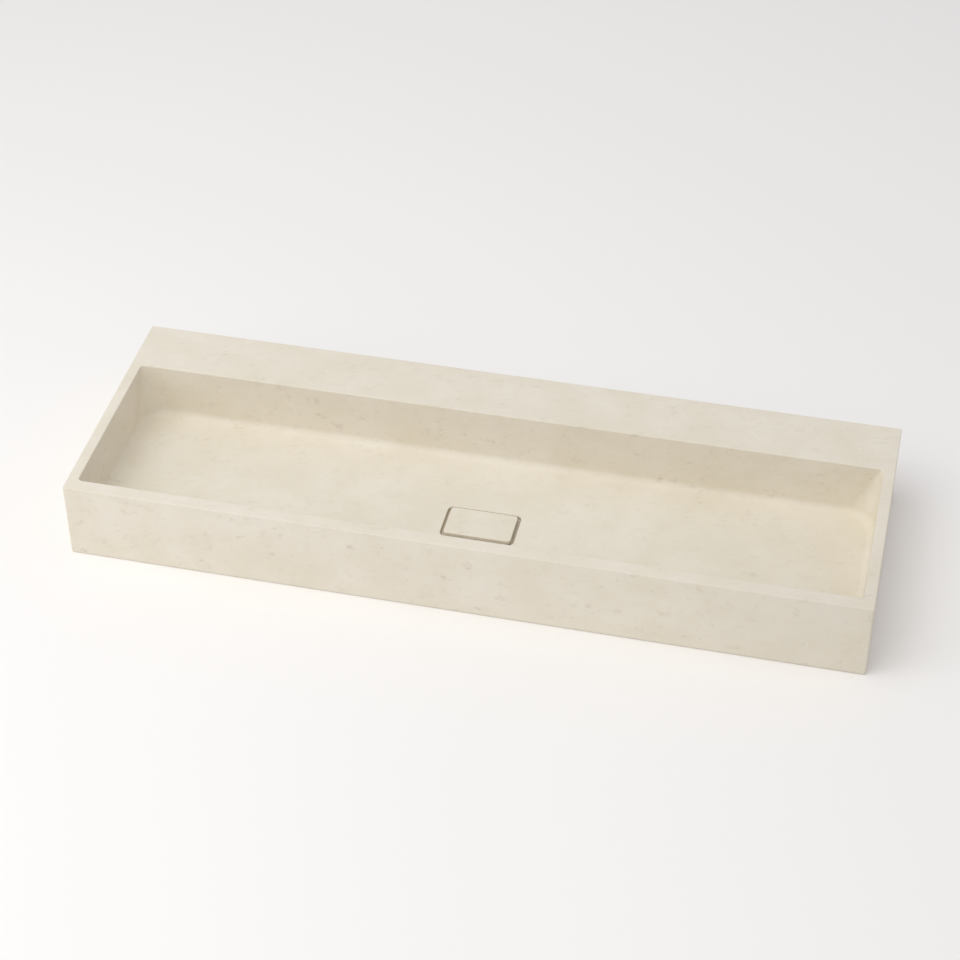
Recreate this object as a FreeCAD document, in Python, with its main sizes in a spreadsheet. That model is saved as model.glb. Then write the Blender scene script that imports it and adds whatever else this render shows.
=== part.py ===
import FreeCAD, Part
import math
import os
import Sketcher

# Wall-hung limestone washbasin: a shallow oblong bowl carved from one block,
# with its waste hidden under a lift-out stone cover and two steel brackets in its hollow underside.
# Millimetres. The origin is the middle of the underside, X runs along the basin,
# Y runs from the user towards the wall and Z points up.

os.makedirs("parts", exist_ok=True)
doc = FreeCAD.newDocument("washbasin")
sheet = doc.addObject("Spreadsheet::Sheet", "Sizes")

# Every size that can be set by itself.
sizes = {
    # stone block
    "basin_length": 1200,
    "basin_depth": 412,
    "basin_height": 128,
    "edge_round": 1.6,
    "outer_edge_round": 3,
    # bowl
    "side_rim": 17,
    "front_rim": 22,
    "rear_ledge": 103,
    "rim_corner": 6,
    "foot_corner": 48,
    "foot_fillet": 12,
    "wall_draft": 1.5,
    "floor_border": 3,
    "floor_fall": 3,
    # recess of the waste, under the cover
    "drain_setback": 157,
    "landing_border": 6,
    "recess_length": 114,
    "recess_width": 68.6,
    "recess_corner": 9,
    "recess_edge_round": 0.8,
    # hollow underside
    "skirt_wall": 20,
    "hollow_corner": 10,
    "rear_panel": 22,
    "bowl_back_wall": 19,
    "ledge_slab": 24,
    "rib_spacing": 340,
    "rib_thickness": 24,
    "boss_border": 20,
    "boss_drop": 3,
    "seat_stone": 7.7,
    # lift-out cover
    "cover_end_gap": 5.5,
    "cover_side_gap": 4.6,
    "cover_corner": 5,
    "cover_thickness": 7,
    "cover_rise": 3.3,
    "cover_edge_round": 0.8,
    "foot_diameter": 8,
    "foot_height": 2.5,
    "foot_inset": 4,
    # waste
    "tail_room": 1,
    "tail_length": 10,
    "tail_diameter": 41.91,
    "tail_wall": 3.5,
    "hole_play": 2,
    "collar_lap": 7,
    "collar_thickness": 4,
    "outlet_gasket_thickness": 2,
    "outlet_gasket_play": 1,
    "flange_lap": 7,
    "flange_play": 1,
    "flange_sheet": 1.8,
    "flange_gasket_thickness": 1.5,
    "flange_gasket_inset": 1,
    "dish_play": 3,
    "dish_wall_run": 2.5,
    "dish_depth": 4,
    "strainer_hole": 9,
    "spigot_play": 1.2,
    "hub_diameter": 12,
    "hub_height": 8,
    "spoke_width": 3,
    "spoke_height": 5,
    "waste_screw_diameter": 5.8,
    "waste_screw_end": 4,
    "waste_screw_head": 11,
    "waste_screw_head_height": 3,
    "waste_screw_head_round": 1,
    "waste_screw_socket": 4,
    "waste_screw_socket_depth": 2,
    "waste_screw_play": 0.4,
    # steel brackets
    "bracket_spacing": 700,
    "bracket_width": 60,
    "bracket_steel": 8,
    "bracket_headroom": 4,
    "bracket_corner": 8,
    "bracket_play": 2,
    "gusset_room": 18,
    "gusset_steel": 6,
    "wall_hole": 11,
    "wall_hole_spacing": 34,
    "wall_hole_drop": 24,
    # bolts between brackets and stone
    "rear_bolt_reach": 150,
    "bolt_pitch": 110,
    "arm_end": 30,
    "bolt_diameter": 7.8,
    "bolt_length": 21,
    "bolt_head": 13,
    "bolt_head_height": 5.3,
    "bolt_play": 0.6,
    "washer_border": 1.5,
    "washer_thickness": 1.6,
    "washer_play": 0.3,
    "insert_wall": 2,
    "insert_length": 10,
    "insert_bond": 0.15,
    "thread_play": 0.1,
    "cushion_thickness": 2,
    "cushion_inset": 4,
}

for row, (name, size) in enumerate(sizes.items(), start=1):
    sheet.set(f"A{row}", name)
    sheet.set(f"B{row}", str(size))
    sheet.setAlias(f"B{row}", name)
doc.recompute()

# Shares and counts.
match_share = 0.001
gusset_height_share = 0.7
hex_sides = 6
hex_corner_share = 0.57735
strainer_holes = 6
spokes = 3
quarter_turn = math.pi / 2


def size_of(name):
    return f"Sizes.{name}"


def value(expression):
    return float(sheet.evalExpression(expression))


# Places along and across the basin that several pieces share, as expressions.
half_length = "(Sizes.basin_length / 2)"
half_depth = "(Sizes.basin_depth / 2)"
bowl_right = f"({half_length} - Sizes.side_rim)"
bowl_front = f"(-{half_depth} + Sizes.front_rim)"
bowl_back = f"({half_depth} - Sizes.rear_ledge)"
channel_front = f"({bowl_back} + Sizes.bowl_back_wall)"
drain_y = f"(-{half_depth} + Sizes.drain_setback)"
bracket_x = "(Sizes.bracket_spacing / 2)"
rear_bolt_y = f"({half_depth} - Sizes.rear_bolt_reach)"
front_bolt_y = f"({rear_bolt_y} - Sizes.bolt_pitch)"
arm_tip = f"({front_bolt_y} - Sizes.arm_end)"
leg_front = f"({half_depth} - Sizes.bracket_steel)"

# Diameters and widths that follow the waste tail, the recess and the bolts.
waste_hole = "(Sizes.tail_diameter + 2 * Sizes.hole_play)"
tail_bore = "(Sizes.tail_diameter - 2 * Sizes.tail_wall)"
collar_diameter = f"({waste_hole} + 2 * Sizes.collar_lap)"
flange_diameter = f"({waste_hole} + 2 * Sizes.flange_lap)"
dish_radius = f"({waste_hole} / 2 - Sizes.dish_play)"
dish_floor_radius = f"({dish_radius} - Sizes.dish_wall_run)"
cover_length = "(Sizes.recess_length - 2 * Sizes.cover_end_gap)"
cover_width = "(Sizes.recess_width - 2 * Sizes.cover_side_gap)"
thread_bore = "(Sizes.bolt_diameter + 2 * Sizes.thread_play)"
insert_diameter = f"({thread_bore} + 2 * Sizes.insert_wall)"
bolt_hole = "(Sizes.bolt_diameter + 2 * Sizes.bolt_play)"

# Levels of the waste, stacked upwards from the end of its tail to the foot of the bowl.
tail_end = "Sizes.tail_room"
collar_bottom = f"({tail_end} + Sizes.tail_length)"
collar_top = f"({collar_bottom} + Sizes.collar_thickness)"
boss_level = f"({collar_top} + Sizes.outlet_gasket_thickness)"
hollow_level = f"({boss_level} + Sizes.boss_drop)"
seat_level = f"({boss_level} + Sizes.seat_stone)"
rim_seat_level = f"({seat_level} + Sizes.flange_gasket_thickness)"
recess_floor = f"({rim_seat_level} + Sizes.flange_sheet)"
cover_bottom = f"({recess_floor} + Sizes.foot_height)"
cover_top = f"({cover_bottom} + Sizes.cover_thickness)"
recess_top = f"({cover_top} - Sizes.cover_rise)"
foot_level = f"({recess_top} + Sizes.floor_fall)"
dish_floor_level = f"({recess_floor} - Sizes.dish_depth)"
dish_underside = f"({dish_floor_level} - Sizes.flange_sheet)"
hub_top = f"({dish_underside} - Sizes.spigot_play)"
hub_bottom = f"({hub_top} - Sizes.hub_height)"
channel_top = "(Sizes.basin_height - Sizes.ledge_slab)"

# Levels of a bracket and its bolts, stacked downwards from the roof of the hollow.
arm_top = f"({hollow_level} - Sizes.cushion_thickness)"
arm_bottom = f"({arm_top} - Sizes.bracket_steel)"
leg_top = f"({channel_top} - Sizes.bracket_headroom)"
gusset_top = f"({arm_top} + ({leg_top} - {arm_top}) * {gusset_height_share})"
wall_hole_level = f"({leg_top} - Sizes.wall_hole_drop)"
washer_bottom = f"({arm_bottom} - Sizes.washer_thickness)"
head_bottom = f"({washer_bottom} - Sizes.bolt_head_height)"


# Sketch helpers. Each coordinate and size is an expression on the sheet.
def body_named(name):
    body = doc.addObject("PartDesign::Body", name)
    body.Label = name
    return body


def origin_feature(body, role):
    return next(feature for feature in body.Origin.OriginFeatures if feature.Role == role)


def sketch_on(body, name, role, level="0"):
    sketch = body.newObject("Sketcher::SketchObject", name)
    sketch.AttachmentSupport = (origin_feature(body, role), [""])
    sketch.MapMode = "FlatFace"
    if level != "0":
        sketch.setExpression("AttachmentOffset.Base.z", level)
    return sketch


def bind(sketch, kind, where, expression):
    index = sketch.addConstraint(Sketcher.Constraint(kind, *where, value(expression)))
    name = f"size{index}"
    sketch.renameConstraint(index, name)
    sketch.setExpression(f"Constraints.{name}", expression)


def place_point(sketch, geometry, point, x, y):
    for kind, axis, expression in (("DistanceX", -2, x), ("DistanceY", -1, y)):
        if expression == "0":
            sketch.addConstraint(Sketcher.Constraint("PointOnObject", geometry, point, axis))
        else:
            bind(sketch, kind, (geometry, point), expression)


def outline(sketch, corners):
    points = [FreeCAD.Vector(value(x), value(y), 0) for x, y in corners]
    lines = []
    for start, end in zip(points, points[1:] + points[:1]):
        lines.append(sketch.addGeometry(Part.LineSegment(start, end)))
    for line, following in zip(lines, lines[1:] + lines[:1]):
        sketch.addConstraint(Sketcher.Constraint("Coincident", line, 2, following, 1))
    for line, (x, y) in zip(lines, corners):
        place_point(sketch, line, 1, x, y)


def rectangle(sketch, left, right, bottom, top):
    outline(sketch, [(left, bottom), (right, bottom), (right, top), (left, top)])


def circle(sketch, x, y, diameter):
    centre = FreeCAD.Vector(value(x), value(y), 0)
    up = FreeCAD.Vector(0, 0, 1)
    loop = sketch.addGeometry(Part.Circle(centre, up, value(f"{diameter} / 2")))
    place_point(sketch, loop, 3, x, y)
    bind(sketch, "Diameter", (loop,), diameter)


def rounded_rectangle(sketch, left, right, bottom, top, corner):
    west, east, south, north = (value(side) for side in (left, right, bottom, top))
    radius = value(corner)
    up = FreeCAD.Vector(0, 0, 1)
    ends = [
        ((west + radius, south), (east - radius, south)),
        ((east, south + radius), (east, north - radius)),
        ((east - radius, north), (west + radius, north)),
        ((west, north - radius), (west, south + radius)),
    ]
    centres = [
        (east - radius, south + radius),
        (east - radius, north - radius),
        (west + radius, north - radius),
        (west + radius, south + radius),
    ]
    lines = []
    arcs = []
    for quarter, (start, end) in enumerate(ends):
        segment = Part.LineSegment(FreeCAD.Vector(*start, 0), FreeCAD.Vector(*end, 0))
        lines.append(sketch.addGeometry(segment))
        whole = Part.Circle(FreeCAD.Vector(*centres[quarter], 0), up, radius)
        arc = Part.ArcOfCircle(whole, (quarter - 1) * quarter_turn, quarter * quarter_turn)
        arcs.append(sketch.addGeometry(arc))
    for quarter in range(len(lines)):
        following = lines[(quarter + 1) % len(lines)]
        sketch.addConstraint(Sketcher.Constraint("Tangent", lines[quarter], 2, arcs[quarter], 1))
        sketch.addConstraint(Sketcher.Constraint("Tangent", arcs[quarter], 2, following, 1))
    for line in (lines[0], lines[2]):
        sketch.addConstraint(Sketcher.Constraint("Horizontal", line))
    for line in (lines[1], lines[3]):
        sketch.addConstraint(Sketcher.Constraint("Vertical", line))
    for arc in arcs[1:]:
        sketch.addConstraint(Sketcher.Constraint("Equal", arcs[0], arc))
    bind(sketch, "Radius", (arcs[0],), corner)
    bind(sketch, "DistanceY", (lines[0], 1), bottom)
    bind(sketch, "DistanceX", (lines[1], 1), right)
    bind(sketch, "DistanceY", (lines[2], 1), top)
    bind(sketch, "DistanceX", (lines[3], 1), left)


# Feature helpers. Each feature is recomputed at once and must add to the body or cut it as meant.
body_volume = {}


def finish(body, feature, adds):
    before = body_volume.get(body.Name, 0)
    doc.recompute()
    after = feature.Shape.Volume
    if after == before or adds != (after > before):
        raise ValueError(f"{feature.Label} does not change {body.Label} as it should")
    body_volume[body.Name] = after
    body.Tip = feature
    return feature


def pad(body, sketch, length, downwards=False):
    feature = body.newObject("PartDesign::Pad", f"{sketch.Name}_pad")
    feature.Profile = sketch
    feature.Reversed = downwards
    feature.setExpression("Length", length)
    return finish(body, feature, True)


def pocket(body, sketch, length, upwards=False):
    feature = body.newObject("PartDesign::Pocket", f"{sketch.Name}_pocket")
    feature.Profile = sketch
    feature.Reversed = upwards
    feature.setExpression("Length", length)
    return finish(body, feature, False)


def loft_cut(body, name, first, last):
    feature = body.newObject("PartDesign::SubtractiveLoft", name)
    feature.Profile = first
    feature.Sections = [last]
    feature.Ruled = True
    return finish(body, feature, False)


def revolve(body, sketch):
    feature = body.newObject("PartDesign::Revolution", f"{sketch.Name}_revolution")
    feature.Profile = sketch
    feature.ReferenceAxis = (origin_feature(body, "Z_Axis"), [""])
    return finish(body, feature, True)


def fillet(body, name, edges, radius, adds=False):
    base = body.Tip
    feature = body.newObject("PartDesign::Fillet", name)
    feature.Base = (base, edges)
    feature.setExpression("Radius", radius)
    return finish(body, feature, adds)


def polar_copies(body, original, count, adds):
    feature = body.newObject("PartDesign::PolarPattern", f"{original.Name}_copies")
    feature.Originals = [original]
    feature.Axis = (origin_feature(body, "Z_Axis"), [""])
    feature.Occurrences = count
    return finish(body, feature, adds)


def edges_where(shape, test):
    return [
        f"Edge{number}"
        for number, edge in enumerate(shape.Edges, start=1)
        if all(test(vertex.Point) for vertex in edge.Vertexes)
    ]


def near(first, second):
    return abs(first - second) < match_share * value(size_of("edge_round"))


# The block of stone: bowl, recess of the waste and hollow underside.
def cut_bowl(body):
    rim = sketch_on(body, "bowl_rim", "XY_Plane", size_of("basin_height"))
    rounded_rectangle(rim, f"-{bowl_right}", bowl_right, bowl_front, bowl_back, size_of("rim_corner"))
    foot = sketch_on(body, "bowl_foot", "XY_Plane", foot_level)
    foot_outline(foot, "0")
    bowl = loft_cut(body, "bowl", rim, foot)

    foot_edges = edges_where(bowl.Shape, lambda point: near(point.z, value(foot_level)))
    fillet(body, "foot_fillet", foot_edges, size_of("foot_fillet"), adds=True)


# The walls lean in by the draft on their way down from the rim.
def foot_outline(sketch, border):
    inset = f"(Sizes.wall_draft + {border})"
    along = f"({bowl_right} - {inset})"
    front = f"({bowl_front} + {inset})"
    back = f"({bowl_back} - {inset})"
    rounded_rectangle(sketch, f"-{along}", along, front, back, f"(Sizes.foot_corner - {border})")


# The floor falls gently from the foot of the walls to a level landing round the recess.
def cut_floor_fall(body):
    high = sketch_on(body, "floor_edge", "XY_Plane", foot_level)
    foot_outline(high, "(Sizes.foot_fillet + Sizes.floor_border)")
    low = sketch_on(body, "landing_edge", "XY_Plane", recess_top)
    recess_outline(low, size_of("landing_border"))
    loft_cut(body, "floor_fall", high, low)


def recess_outline(sketch, border):
    along = f"(Sizes.recess_length / 2 + {border})"
    across = f"(Sizes.recess_width / 2 + {border})"
    front = f"({drain_y} - {across})"
    back = f"({drain_y} + {across})"
    rounded_rectangle(sketch, f"-{along}", along, front, back, f"(Sizes.recess_corner + {border})")


def round_rim(body):
    top = value(size_of("basin_height"))
    reach_x = value(bowl_right)
    reach_front = value(bowl_front)
    reach_back = value(bowl_back)

    def on_rim(point):
        inside_x = abs(point.x) < reach_x or near(abs(point.x), reach_x)
        inside_front = point.y > reach_front or near(point.y, reach_front)
        inside_back = point.y < reach_back or near(point.y, reach_back)
        return near(point.z, top) and inside_x and inside_front and inside_back

    fillet(body, "rim_round", edges_where(body.Tip.Shape, on_rim), size_of("edge_round"))


def cut_recess(body):
    recess = sketch_on(body, "recess", "XY_Plane", recess_top)
    recess_outline(recess, "0")
    pocket(body, recess, f"({recess_top} - {recess_floor})")

    level = value(recess_top)
    reach = value("Sizes.recess_length / 2")

    def on_recess_edge(point):
        inside = abs(point.x) < reach or near(abs(point.x), reach)
        inside_y = abs(point.y - value(drain_y)) < value("Sizes.recess_width / 2 + Sizes.landing_border / 2")
        return near(point.z, level) and inside and inside_y

    edges = edges_where(body.Tip.Shape, on_recess_edge)
    fillet(body, "recess_edge_round", edges, size_of("recess_edge_round"))


def cut_underside(body):
    rib_inner = "(Sizes.rib_spacing / 2 - Sizes.rib_thickness / 2)"
    rib_outer = "(Sizes.rib_spacing / 2 + Sizes.rib_thickness / 2)"
    hollow_end = f"({half_length} - Sizes.skirt_wall)"
    hollow_front = f"(-{half_depth} + Sizes.skirt_wall)"
    hollow_back = f"({half_depth} - Sizes.rear_panel)"
    bays = [
        (f"-{hollow_end}", f"-{rib_outer}"),
        (f"-{rib_inner}", rib_inner),
        (rib_outer, hollow_end),
    ]
    corner = size_of("hollow_corner")

    hollow = sketch_on(body, "hollow_bays", "XY_Plane")
    for left, right in bays:
        rounded_rectangle(hollow, left, right, hollow_front, hollow_back, corner)
    pocket(body, hollow, hollow_level, upwards=True)

    channel = sketch_on(body, "rear_channels", "XY_Plane")
    for left, right in bays:
        rounded_rectangle(channel, left, right, channel_front, hollow_back, corner)
    pocket(body, channel, channel_top, upwards=True)


# A boss under the recess carries the clamped waste.
def bore_waste(body):
    boss = sketch_on(body, "drain_boss", "XY_Plane", boss_level)
    circle(boss, "0", drain_y, f"({collar_diameter} + 2 * Sizes.boss_border)")
    pad(body, boss, size_of("boss_drop"))

    seat = sketch_on(body, "flange_seat", "XY_Plane", recess_floor)
    circle(seat, "0", drain_y, f"({flange_diameter} + 2 * Sizes.flange_play)")
    pocket(body, seat, f"({recess_floor} - {seat_level})")

    hole = sketch_on(body, "waste_hole", "XY_Plane", recess_floor)
    circle(hole, "0", drain_y, waste_hole)
    pocket(body, hole, recess_floor)


def cut_bracket_seats(body):
    notch = sketch_on(body, "bracket_notches", "XY_Plane")
    reach = "(Sizes.bracket_width / 2 + Sizes.bracket_play)"
    inner = f"({half_depth} - Sizes.rear_panel - Sizes.bracket_play)"
    outer = f"({half_depth} + Sizes.bracket_play)"
    for centre in (f"-{bracket_x}", bracket_x):
        rectangle(notch, f"({centre} - {reach})", f"({centre} + {reach})", inner, outer)
    pocket(body, notch, f"({leg_top} + Sizes.bracket_play)", upwards=True)

    holes = sketch_on(body, "insert_holes", "XY_Plane")
    for x in (f"-{bracket_x}", bracket_x):
        for y in (rear_bolt_y, front_bolt_y):
            circle(holes, x, y, f"({insert_diameter} + 2 * Sizes.insert_bond)")
    depth = f"({hollow_level} + Sizes.insert_length + Sizes.insert_bond)"
    pocket(body, holes, depth, upwards=True)


# The uprights and the lower edges are rounder than the edges on top.
def round_block(body, solid):
    def on_top(point):
        return near(point.z, value(size_of("basin_height")))

    every = edges_where(solid.Shape, lambda point: True)
    upper = edges_where(solid.Shape, on_top)
    outer = [edge for edge in every if edge not in upper]
    rounded = fillet(body, "outer_edge_round", outer, size_of("outer_edge_round"))
    fillet(body, "upper_edge_round", edges_where(rounded.Shape, on_top), size_of("edge_round"))


def basin_block():
    body = body_named("basin_block")
    block = sketch_on(body, "block", "XY_Plane")
    rectangle(block, f"-{half_length}", half_length, f"-{half_depth}", half_depth)
    solid = pad(body, block, size_of("basin_height"))
    round_block(body, solid)
    cut_bowl(body)
    cut_floor_fall(body)
    round_rim(body)
    cut_recess(body)
    cut_underside(body)
    bore_waste(body)
    cut_bracket_seats(body)
    return body


# Pieces round the waste are modelled about its own axis and placed over the hole.
def on_drain_axis(piece):
    piece.setExpression("Placement.Base.y", drain_y)
    return piece


def waste_cover():
    body = body_named("waste_cover")
    plate = sketch_on(body, "cover_plate", "XY_Plane", cover_bottom)
    along = f"({cover_length} / 2)"
    across = f"({cover_width} / 2)"
    rounded_rectangle(plate, f"-{along}", along, f"-{across}", across, size_of("cover_corner"))
    solid = pad(body, plate, size_of("cover_thickness"))
    upper = edges_where(solid.Shape, lambda point: near(point.z, value(cover_top)))
    fillet(body, "cover_edge_round", upper, size_of("cover_edge_round"))
    return on_drain_axis(body)


# A group of equal loose solids shares one node.
def group(name, members):
    compound = doc.addObject("Part::Compound", name)
    compound.Label = name
    compound.Links = members
    return compound


def cylinder(name, diameter, height, x, y, z):
    piece = doc.addObject("Part::Cylinder", name)
    piece.setExpression("Radius", f"{diameter} / 2")
    piece.setExpression("Height", height)
    place(piece, x, y, z)
    return piece


def place(piece, x, y, z):
    for axis, expression in (("x", x), ("y", y), ("z", z)):
        piece.setExpression(f"Placement.Base.{axis}", expression)


def ring(name, outer, inner, height, x, y, z):
    disc = cylinder(f"{name}_disc", outer, height, x, y, z)
    hole = cylinder(f"{name}_hole", inner, height, x, y, z)
    cut = doc.addObject("Part::Cut", name)
    cut.Label = name
    cut.Base = disc
    cut.Tool = hole
    return cut


# Soft feet bonded under the cover hold it level over the recess.
def cover_feet():
    inset = "(Sizes.foot_inset + Sizes.foot_diameter / 2)"
    along = f"({cover_length} / 2 - {inset})"
    across = f"({cover_width} / 2 - {inset})"
    diameter = size_of("foot_diameter")
    height = size_of("foot_height")
    feet = []
    for x in (f"-{along}", along):
        for y in (f"({drain_y} - {across})", f"({drain_y} + {across})"):
            feet.append(cylinder("cover_foot", diameter, height, x, y, recess_floor))
    return group("cover_feet", feet)


# Pressed strainer flange: a flat rim and a dished middle with round holes.
def waste_flange():
    body = body_named("waste_flange")
    profile = sketch_on(body, "flange_profile", "XZ_Plane")
    rim = f"({flange_diameter} / 2)"
    inner_floor_radius = f"({dish_floor_radius} - Sizes.flange_sheet / 2)"
    outline(profile, [
        ("0", dish_floor_level),
        ("0", dish_underside),
        (dish_floor_radius, dish_underside),
        (f"({dish_radius} + Sizes.flange_sheet / 2)", rim_seat_level),
        (rim, rim_seat_level),
        (rim, recess_floor),
        (dish_radius, recess_floor),
        (inner_floor_radius, dish_floor_level),
    ])
    revolve(body, profile)

    middle = sketch_on(body, "screw_clearance", "XY_Plane", dish_floor_level)
    circle(middle, "0", "0", "(Sizes.waste_screw_diameter + 2 * Sizes.waste_screw_play)")
    pocket(body, middle, size_of("flange_sheet"))

    hole = sketch_on(body, "strainer_hole", "XY_Plane", dish_floor_level)
    hole_y = f"(({inner_floor_radius} + Sizes.waste_screw_head / 2) / 2)"
    circle(hole, "0", hole_y, size_of("strainer_hole"))
    first = pocket(body, hole, size_of("flange_sheet"))
    polar_copies(body, first, strainer_holes, adds=False)
    return on_drain_axis(body)


def flange_gasket():
    outer = f"({flange_diameter} - 2 * Sizes.flange_gasket_inset)"
    inner = f"({waste_hole} + 2 * Sizes.flange_gasket_inset)"
    thickness = size_of("flange_gasket_thickness")
    return ring("flange_gasket", outer, inner, thickness, "0", drain_y, seat_level)


def outlet_gasket():
    inner = "(Sizes.tail_diameter + 2 * Sizes.outlet_gasket_play)"
    thickness = size_of("outlet_gasket_thickness")
    return ring("outlet_gasket", collar_diameter, inner, thickness, "0", drain_y, collar_top)


# Outlet with a clamping collar, a threaded tail for the trap and a spoked hub for the screw.
def outlet_body():
    body = body_named("outlet_body")
    profile = sketch_on(body, "outlet_profile", "XZ_Plane")
    bore = f"({tail_bore} / 2)"
    tail = "(Sizes.tail_diameter / 2)"
    collar = f"({collar_diameter} / 2)"
    outline(profile, [
        (bore, tail_end),
        (tail, tail_end),
        (tail, collar_bottom),
        (collar, collar_bottom),
        (collar, collar_top),
        (tail, collar_top),
        (tail, hub_top),
        (bore, hub_top),
    ])
    revolve(body, profile)

    spoke = sketch_on(body, "spoke", "XY_Plane", hub_top)
    reach = f"(({bore} + {tail}) / 2)"
    rectangle(spoke, "-Sizes.spoke_width / 2", "Sizes.spoke_width / 2", "0", reach)
    first = pad(body, spoke, size_of("spoke_height"), downwards=True)
    polar_copies(body, first, spokes, adds=True)

    hub = sketch_on(body, "hub", "XY_Plane", hub_top)
    circle(hub, "0", "0", size_of("hub_diameter"))
    pad(body, hub, size_of("hub_height"), downwards=True)

    thread = sketch_on(body, "hub_thread", "XY_Plane", hub_top)
    circle(thread, "0", "0", "(Sizes.waste_screw_diameter + 2 * Sizes.thread_play)")
    pocket(body, thread, size_of("hub_height"))
    return on_drain_axis(body)


def waste_screw():
    body = body_named("waste_screw")
    head = sketch_on(body, "waste_screw_head", "XY_Plane", dish_floor_level)
    circle(head, "0", "0", size_of("waste_screw_head"))
    top = pad(body, head, size_of("waste_screw_head_height"))
    head_top = f"({dish_floor_level} + Sizes.waste_screw_head_height)"
    upper = edges_where(top.Shape, lambda point: near(point.z, value(head_top)))
    fillet(body, "head_round", upper, size_of("waste_screw_head_round"))

    shank = sketch_on(body, "waste_screw_shank", "XY_Plane", dish_floor_level)
    circle(shank, "0", "0", size_of("waste_screw_diameter"))
    pad(body, shank, f"({dish_floor_level} - {hub_bottom} + Sizes.waste_screw_end)", downwards=True)

    socket = sketch_on(body, "waste_screw_socket", "XY_Plane", head_top)
    hexagon(socket, size_of("waste_screw_socket"))
    pocket(body, socket, size_of("waste_screw_socket_depth"))
    return on_drain_axis(body)


def hexagon(sketch, across_flats):
    flat = f"({across_flats} / 2)"
    point = f"({across_flats} * {hex_corner_share})"
    outline(sketch, [
        (f"-{flat}", f"-{point} / 2"),
        ("0", f"-{point}"),
        (flat, f"-{point} / 2"),
        (flat, f"{point} / 2"),
        ("0", point),
        (f"-{flat}", f"{point} / 2"),
    ])


# Steel bracket: a leg against the wall, an arm under the basin and a gusset between them.
def bracket(name, x):
    body = body_named(name)
    side = sketch_on(body, f"{name}_side", "YZ_Plane", "(-Sizes.bracket_width / 2)")
    outline(side, [
        (half_depth, arm_bottom),
        (half_depth, leg_top),
        (leg_front, leg_top),
        (leg_front, arm_top),
        (arm_tip, arm_top),
        (arm_tip, arm_bottom),
    ])
    solid = pad(body, side, size_of("bracket_width"))

    def on_free_corner(edge):
        along_y = near(edge.Length, value(size_of("bracket_steel")))
        high = all(near(vertex.Z, value(leg_top)) for vertex in edge.Vertexes)
        tip = all(near(vertex.Y, value(arm_tip)) for vertex in edge.Vertexes)
        return along_y and (high or tip)

    corners = [
        f"Edge{number}"
        for number, edge in enumerate(solid.Shape.Edges, start=1)
        if on_free_corner(edge)
    ]
    fillet(body, f"{name}_corners", corners, size_of("bracket_corner"))

    gusset = sketch_on(body, f"{name}_gusset", "YZ_Plane", "(-Sizes.gusset_steel / 2)")
    outline(gusset, [
        (leg_front, arm_top),
        (leg_front, gusset_top),
        (f"({channel_front} + Sizes.gusset_room)", arm_top),
    ])
    pad(body, gusset, size_of("gusset_steel"))

    wall_holes = sketch_on(body, f"{name}_wall_holes", "XZ_Plane", f"(-{half_depth})")
    for centre in ("(-Sizes.wall_hole_spacing / 2)", "(Sizes.wall_hole_spacing / 2)"):
        circle(wall_holes, centre, wall_hole_level, size_of("wall_hole"))
    pocket(body, wall_holes, size_of("bracket_steel"), upwards=True)

    arm_holes = sketch_on(body, f"{name}_arm_holes", "XY_Plane", arm_bottom)
    for y in (rear_bolt_y, front_bolt_y):
        circle(arm_holes, "0", y, bolt_hole)
    pocket(body, arm_holes, size_of("bracket_steel"), upwards=True)
    body.setExpression("Placement.Base.x", x)
    return body


# Rubber strips between the arms and the stone.
def cushion(name, x):
    body = body_named(name)
    strip = sketch_on(body, f"{name}_strip", "XY_Plane", arm_top)
    reach = "(Sizes.bracket_width / 2 - Sizes.cushion_inset)"
    tip = f"({arm_tip} + Sizes.cushion_inset)"
    rear = f"({channel_front} - Sizes.cushion_inset)"
    rectangle(strip, f"-{reach}", reach, tip, rear)
    for y in (rear_bolt_y, front_bolt_y):
        circle(strip, "0", y, bolt_hole)
    pad(body, strip, size_of("cushion_thickness"))
    body.setExpression("Placement.Base.x", x)
    return body


def bracket_cushions():
    left = cushion("left_cushion", f"-{bracket_x}")
    right = cushion("right_cushion", bracket_x)
    return group("bracket_cushions", [left, right])


# Fasteners between an arm and the stone.
def bolt(name, x, y):
    head = doc.addObject("Part::Prism", f"{name}_head")
    head.Polygon = hex_sides
    head.setExpression("Circumradius", f"Sizes.bolt_head * {hex_corner_share}")
    head.setExpression("Height", size_of("bolt_head_height"))
    place(head, x, y, head_bottom)
    shank = cylinder(f"{name}_shank", size_of("bolt_diameter"), size_of("bolt_length"), x, y, washer_bottom)
    whole = doc.addObject("Part::Fuse", name)
    whole.Base = head
    whole.Tool = shank
    return whole


def washer(name, x, y):
    outer = "(Sizes.bolt_head + 2 * Sizes.washer_border)"
    hole = "(Sizes.bolt_diameter + 2 * Sizes.washer_play)"
    return ring(name, outer, hole, size_of("washer_thickness"), x, y, washer_bottom)


def threaded_insert(name, x, y):
    return ring(name, insert_diameter, thread_bore, size_of("insert_length"), x, y, hollow_level)


# One piece at each of the four bolt places.
def at_each_bolt(name, make):
    places = [(x, y) for x in (f"-{bracket_x}", bracket_x) for y in (rear_bolt_y, front_bolt_y)]
    members = [make(f"{name}_{number}", x, y) for number, (x, y) in enumerate(places, start=1)]
    return group(name, members)


pieces = [
    basin_block(),
    waste_cover(),
    cover_feet(),
    waste_flange(),
    flange_gasket(),
    waste_screw(),
    outlet_gasket(),
    outlet_body(),
    bracket("left_bracket", f"-{bracket_x}"),
    bracket("right_bracket", bracket_x),
    bracket_cushions(),
    at_each_bolt("bracket_bolts", bolt),
    at_each_bolt("bracket_washers", washer),
    at_each_bolt("threaded_inserts", threaded_insert),
]
doc.recompute()

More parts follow.
